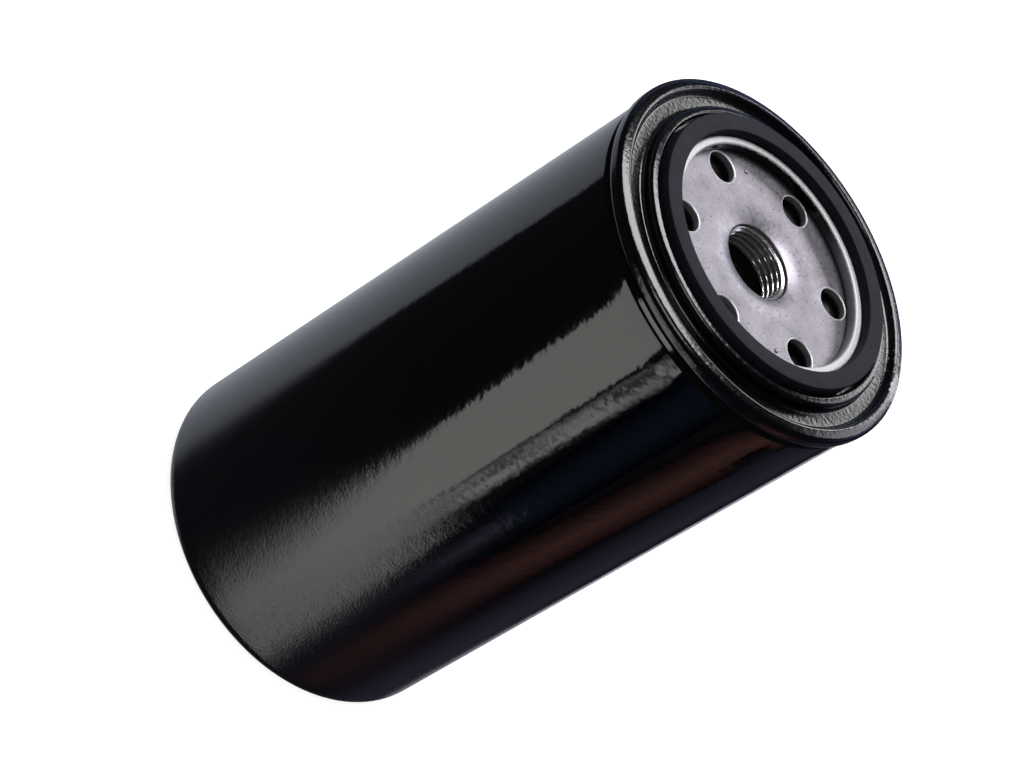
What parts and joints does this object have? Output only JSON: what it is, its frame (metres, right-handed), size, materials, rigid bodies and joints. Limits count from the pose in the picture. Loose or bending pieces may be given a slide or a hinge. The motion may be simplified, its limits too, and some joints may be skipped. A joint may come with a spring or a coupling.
{
  "type": "spin-on oil filter",
  "caption": "Spin-on oil filter: seamed black can with a tapped inlet plate, mounting gasket, anti-drain valve, pleated element and bypass valve.",
  "frame": {"origin": "centre of the ring that the closed end stands on", "axes": "+Z along the can's axis, out of the threaded open end; +X through the first inlet hole"},
  "size_m": [0.094, 0.094, 0.1692],
  "materials": {
    "black_paint": "gloss black paint on steel sheet",
    "zinc_plated_steel": "bare zinc-plated, satin",
    "tinplate": "satin tinplate",
    "spring_steel": "oiled drawn wire",
    "gasket_rubber": "matte nitrile rubber",
    "valve_rubber": "matte moulded rubber",
    "sealant": "cured sealing compound",
    "adhesive": "cured plastisol",
    "filter_paper": "resin-treated pleated paper",
    "fibre_washer": "compressed fibre"
  },
  "bodies": {
    "housing": {"shell": "black_paint", "seaming_lid": "black_paint", "seam_sealant": "sealant", "base_plate": "zinc_plated_steel", "mounting_gasket": "gasket_rubber", "spring_locator": "zinc_plated_steel"},
    "element": {"upper_end_cap": "tinplate", "lower_end_cap": "tinplate", "upper_potting": "adhesive", "lower_potting": "adhesive", "pleated_media": "filter_paper", "media_seam_clip": "tinplate", "centre_tube": "tinplate", "element_grommet": "valve_rubber", "element_support_spring": "spring_steel", "bypass_valve_body": "zinc_plated_steel", "bypass_body_gasket": "fibre_washer", "bypass_valve_cage": "zinc_plated_steel"},
    "anti_drain_valve": {"anti_drain_valve": "valve_rubber"},
    "bypass_valve": {"bypass_valve_seal": "gasket_rubber", "bypass_valve_disc": "zinc_plated_steel", "bypass_valve_stem": "spring_steel", "bypass_valve_spring": "spring_steel"}
  },
  "joints": [
    {"name": "element_float", "type": "slide", "parent": "housing", "child": "element", "axis": [0, 0, -1], "range_m": [0, 0.0025], "stiffness_N_per_m": 8000, "springref_m": -0.008, "deforming": ["element_support_spring"]},
    {"name": "anti_drain_lift", "type": "slide", "parent": "housing", "child": "anti_drain_valve", "axis": [0, 0, -1], "range_m": [0, 0.002], "stiffness_N_per_m": 400, "springref_m": -0.002},
    {"name": "bypass_open", "type": "slide", "parent": "element", "child": "bypass_valve", "axis": [0, 0, 1], "range_m": [0, 0.004], "stiffness_N_per_m": 2000, "springref_m": -0.01, "deforming": ["bypass_valve_spring"]}
  ]
}
